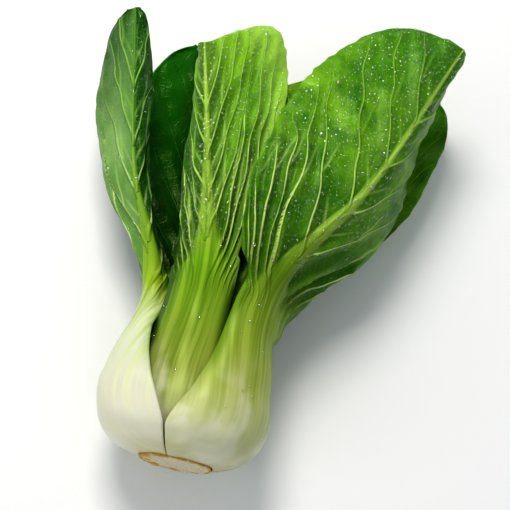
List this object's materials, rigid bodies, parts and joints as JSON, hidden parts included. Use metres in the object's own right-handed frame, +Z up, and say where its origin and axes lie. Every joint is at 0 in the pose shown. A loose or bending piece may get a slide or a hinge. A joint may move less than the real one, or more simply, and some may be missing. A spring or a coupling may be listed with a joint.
{
  "type": "bok choy",
  "caption": "Head of Shanghai bok choy lying on its side, with thick pale stalks swelling to a bulb at the cut end and broad dark green leaves.",
  "frame": {"origin": "centre of the head's box on the surface it lies on", "axes": "+Y from the cut end to the leaf tips, +Z up, +X to the right seen from the cut end"},
  "size_m": [0.1592, 0.2048, 0.076],
  "materials": {
    "leaf": "satin",
    "heart": "satin",
    "stem": "matte"
  },
  "bodies": {
    "root": {"cut_stem": "stem", "leaf_right": "leaf", "leaf_left": "leaf", "leaf_back": "leaf", "leaf_front": "leaf", "leaf_back_right": "leaf", "leaf_back_left": "leaf", "leaf_inner_right": "leaf", "leaf_inner_left": "leaf", "leaf_inner_back": "leaf", "heart_leaf_front": "heart", "heart_leaf_right": "heart", "heart_leaf_left": "heart"}
  },
  "joints": []
}
